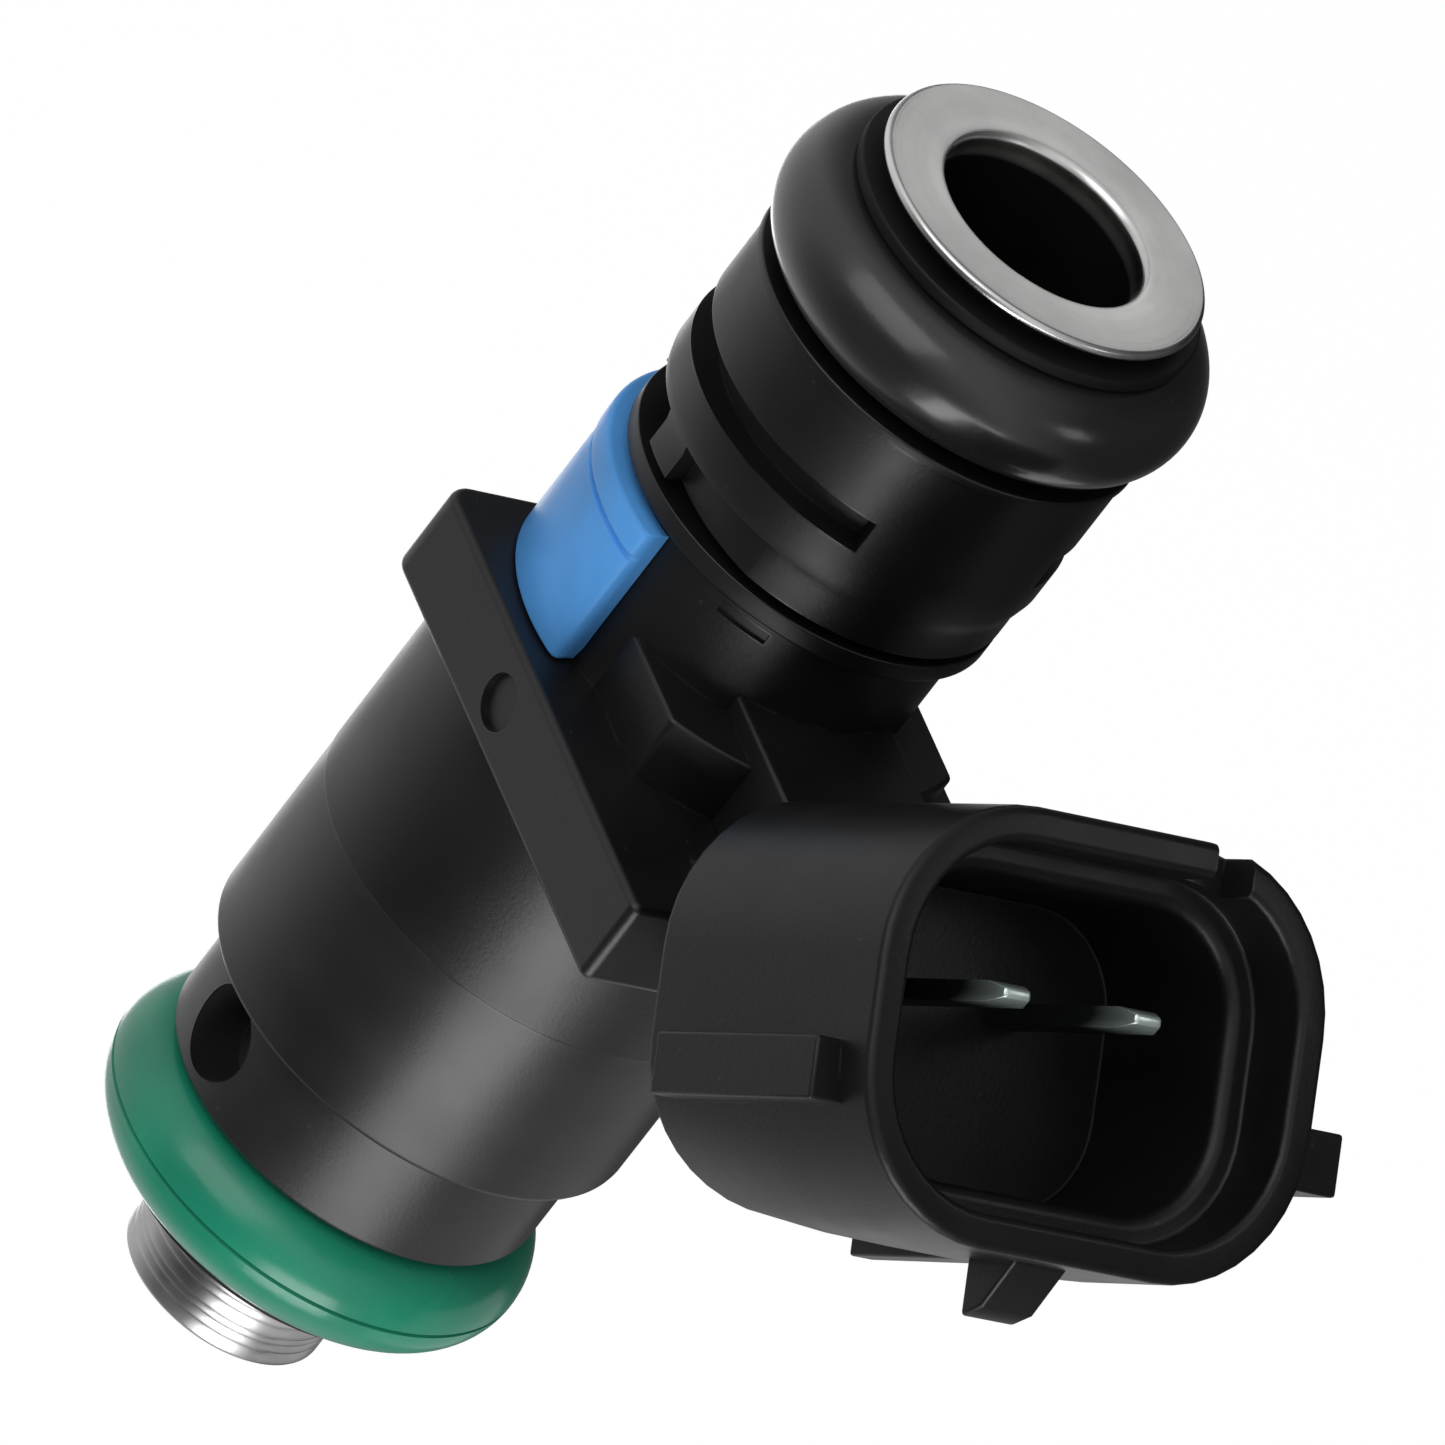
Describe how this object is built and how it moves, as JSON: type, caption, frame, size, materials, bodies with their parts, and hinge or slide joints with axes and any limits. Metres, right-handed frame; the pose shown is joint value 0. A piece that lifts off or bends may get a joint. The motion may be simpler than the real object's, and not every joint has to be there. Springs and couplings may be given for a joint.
{
  "type": "fuel injector",
  "caption": "Solenoid fuel injector with an angled oval electrical connector, sealing rings at both ends, a steel nozzle tip and a blue clip round the neck.",
  "frame": {"origin": "centre of the lower sealing ring, on the injector's axis", "axes": "+Z along the injector towards its fuel inlet, +X to the side that the connector leans to, +Y across the connector"},
  "size_m": [0.0353, 0.0186, 0.0469],
  "materials": {
    "steel_tube": "bright drawn stainless steel",
    "tip_steel": "turned stainless steel with fine rings",
    "polished_steel": "ground steel",
    "core_steel": "soft magnetic steel, satin",
    "spring_steel": "drawn spring wire",
    "filter_brass": "satin",
    "filter_plastic": "moulded nylon",
    "filter_gauze": "fine woven gauze",
    "green_rubber": "smooth moulded fluorocarbon rubber with a faint mould line",
    "black_rubber": "smooth moulded rubber with a soft sheen",
    "black_backup": "matt",
    "black_collar": "satin moulded plastic",
    "black_housing": "satin black coated steel with fine turning marks",
    "bobbin_plastic": "natural glass-filled nylon",
    "copper_wire": "enamelled copper wire",
    "tinned_terminal": "tinned, slightly dull",
    "black_plastic": "satin moulded nylon",
    "black_connector": "fine matt moulded nylon",
    "blue_plastic": "smooth moulded plastic"
  },
  "bodies": {
    "injector_body": {"inlet_tube": "steel_tube", "filter_ring": "filter_brass", "filter_basket": "filter_plastic", "filter_mesh": "filter_gauze", "adjusting_sleeve": "steel_tube", "return_spring": "spring_steel", "pole_piece": "core_steel", "nonmagnetic_sleeve": "steel_tube", "ball_guide": "steel_tube", "valve_seat": "polished_steel", "orifice_plate": "polished_steel", "valve_body": "tip_steel", "lower_oring": "green_rubber", "lower_collar": "black_collar", "solenoid_housing": "black_housing", "coil_bobbin": "bobbin_plastic", "coil_winding": "copper_wire", "flux_washer": "core_steel", "terminal_left": "tinned_terminal", "terminal_right": "tinned_terminal", "neck_body": "black_plastic", "connector_shell": "black_connector", "upper_sleeve": "black_plastic", "blue_clip": "blue_plastic", "upper_oring": "black_rubber", "backup_ring": "black_backup"},
    "needle_assembly": {"armature": "core_steel", "needle_tube": "steel_tube", "valve_ball": "polished_steel"}
  },
  "joints": [
    {"name": "needle_lift", "type": "slide", "parent": "injector_body", "child": "needle_assembly", "axis": [0, 0, 1], "range_m": [0, 0.0001], "stiffness_N_per_m": 4000, "springref_m": -0.001, "deforming": ["return_spring"]}
  ]
}
